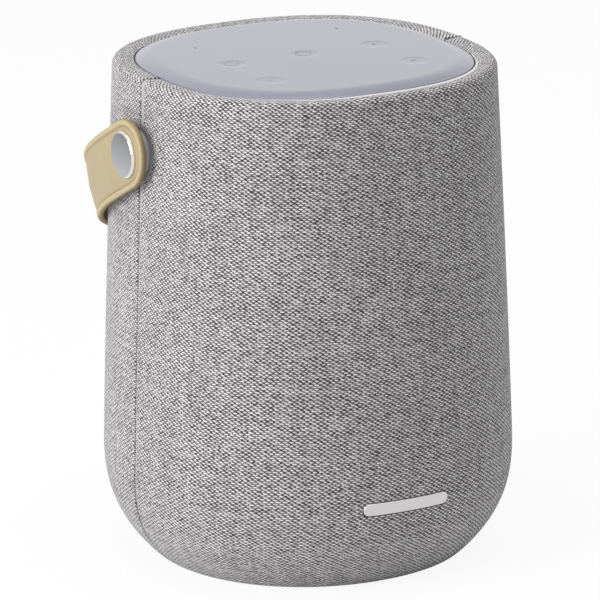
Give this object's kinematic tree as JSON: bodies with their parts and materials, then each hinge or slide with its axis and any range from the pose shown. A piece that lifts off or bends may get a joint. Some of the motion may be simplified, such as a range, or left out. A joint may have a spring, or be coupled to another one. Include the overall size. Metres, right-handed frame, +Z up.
{
  "type": "smart speaker",
  "caption": "Upright cloth-covered smart speaker with a crowned touch panel, leather carry strap on side pivots, and its woofer, tweeters and battery inside.",
  "frame": {"origin": "centre of the rubber foot's resting face", "axes": "+Z up; the front with the badge faces -Y; +X is the right side seen from the front; the strap hangs at the back, +Y"},
  "size_m": [0.1728, 0.1864, 0.2136],
  "materials": {
    "melange_cloth": "woven two-tone melange grille cloth",
    "panel_plastic": "fine satin moulded plastic",
    "trim_rubber": "matt black",
    "shell_plastic": "moulded, matt",
    "chassis_plastic": "moulded, matt",
    "tan_leather": "smooth fine-grained vegetable-tanned leather",
    "knob_steel": "satin face, polished chamfer",
    "boss_metal": "satin anodised",
    "badge_metal": "satin anodised, bare",
    "pin_steel": "turned",
    "screw_steel": "zinc plated",
    "bush_brass": "turned",
    "contact_brass": "plated, polished",
    "foot_rubber": "matt, fine texture",
    "surround_rubber": "matt",
    "gasket_foam": "closed-cell foam",
    "cone_paper": "coated paper pulp",
    "spider_cloth": "resin-dipped cotton",
    "dome_silk": "doped silk",
    "basket_steel": "black powder coat",
    "motor_steel": "zinc plated",
    "magnet_ferrite": "sintered ferrite",
    "coil_copper": "aluminium former, copper winding",
    "weight_steel": "pressed",
    "circuit_board": "green solder mask",
    "heatsink_aluminium": "extruded",
    "can_metal": "tinned shield",
    "battery_wrap": "shrink-wrapped cells",
    "socket_metal": "deep drawn",
    "button_plastic": "moulded, matt"
  },
  "bodies": {
    "speaker_body": {"front_fabric_cover": "melange_cloth", "rear_fabric_cover": "melange_cloth", "front_grille_shell": "shell_plastic", "rear_grille_shell": "shell_plastic", "top_panel": "panel_plastic", "panel_trim": "trim_rubber", "touch_board": "circuit_board", "microphones": "can_metal", "top_frame": "chassis_plastic", "badge_plate": "badge_metal", "base_plate": "shell_plastic", "rubber_foot": "foot_rubber", "charge_contacts": "contact_brass", "chassis_screws": "screw_steel", "battery_holder": "chassis_plastic", "battery_cells": "battery_wrap", "rear_enclosure": "chassis_plastic", "front_baffle": "chassis_plastic", "baffle_gasket": "gasket_foam", "baffle_screws": "screw_steel", "woofer_basket": "basket_steel", "woofer_top_plate": "motor_steel", "woofer_magnet": "magnet_ferrite", "woofer_yoke": "motor_steel", "woofer_surround": "surround_rubber", "woofer_spider": "spider_cloth", "woofer_screws": "screw_steel", "radiator_frame": "basket_steel", "radiator_surround": "surround_rubber", "main_board": "circuit_board", "amplifier_heatsink": "heatsink_aluminium", "wireless_module": "can_metal", "board_capacitors": "heatsink_aluminium", "rear_port_panel": "chassis_plastic", "port_board": "circuit_board", "power_socket": "socket_metal", "mute_switch": "can_metal", "pivot_bush_left": "bush_brass", "strap_boss_left": "boss_metal", "tweeter_frame_left": "chassis_plastic", "tweeter_motor_left": "motor_steel", "pivot_bush_right": "bush_brass", "strap_boss_right": "boss_metal", "tweeter_frame_right": "chassis_plastic", "tweeter_motor_right": "motor_steel"},
    "carry_strap_body": {"carry_strap": "tan_leather", "strap_knob_left": "knob_steel", "strap_knob_right": "knob_steel", "pivot_pin_left": "pin_steel", "pivot_pin_right": "pin_steel", "friction_washers": "pin_steel", "retaining_clips": "pin_steel"},
    "woofer_cone_body": {"woofer_cone": "cone_paper", "woofer_dust_cap": "cone_paper", "woofer_voice_coil": "coil_copper"},
    "radiator_body": {"radiator_plate": "chassis_plastic", "radiator_weight": "weight_steel"},
    "tweeter_left_body": {"tweeter_dome_left": "dome_silk"},
    "tweeter_right_body": {"tweeter_dome_right": "dome_silk"},
    "mute_button_body": {"mute_button": "button_plastic"}
  },
  "joints": [
    {"name": "strap_swing", "type": "hinge", "parent": "speaker_body", "child": "carry_strap_body", "pos_m": [0, 0, 0.1813], "axis": [1, 0, 0], "range_deg": [0, 236]},
    {"name": "mute_press", "type": "slide", "parent": "speaker_body", "child": "mute_button_body", "axis": [0, -1, 0], "range_m": [0, 0.0008], "stiffness_N_per_m": 1500, "springref_m": -0.0004},
    {"name": "woofer_stroke", "type": "slide", "parent": "speaker_body", "child": "woofer_cone_body", "axis": [0, -1, 0], "range_m": [-0.004, 0.004], "stiffness_N_per_m": 1500, "deforming": ["woofer_surround", "woofer_spider"]},
    {"name": "radiator_stroke", "type": "slide", "parent": "speaker_body", "child": "radiator_body", "axis": [0, 1, 0], "range_m": [-0.004, 0.004], "stiffness_N_per_m": 1200, "deforming": ["radiator_surround"]},
    {"name": "tweeter_left_stroke", "type": "slide", "parent": "speaker_body", "child": "tweeter_left_body", "axis": [0, -1, 0], "range_m": [-0.0003, 0.0003], "stiffness_N_per_m": 1500},
    {"name": "tweeter_right_stroke", "type": "slide", "parent": "speaker_body", "child": "tweeter_right_body", "axis": [0, -1, 0], "range_m": [-0.0003, 0.0003], "stiffness_N_per_m": 1500}
  ]
}
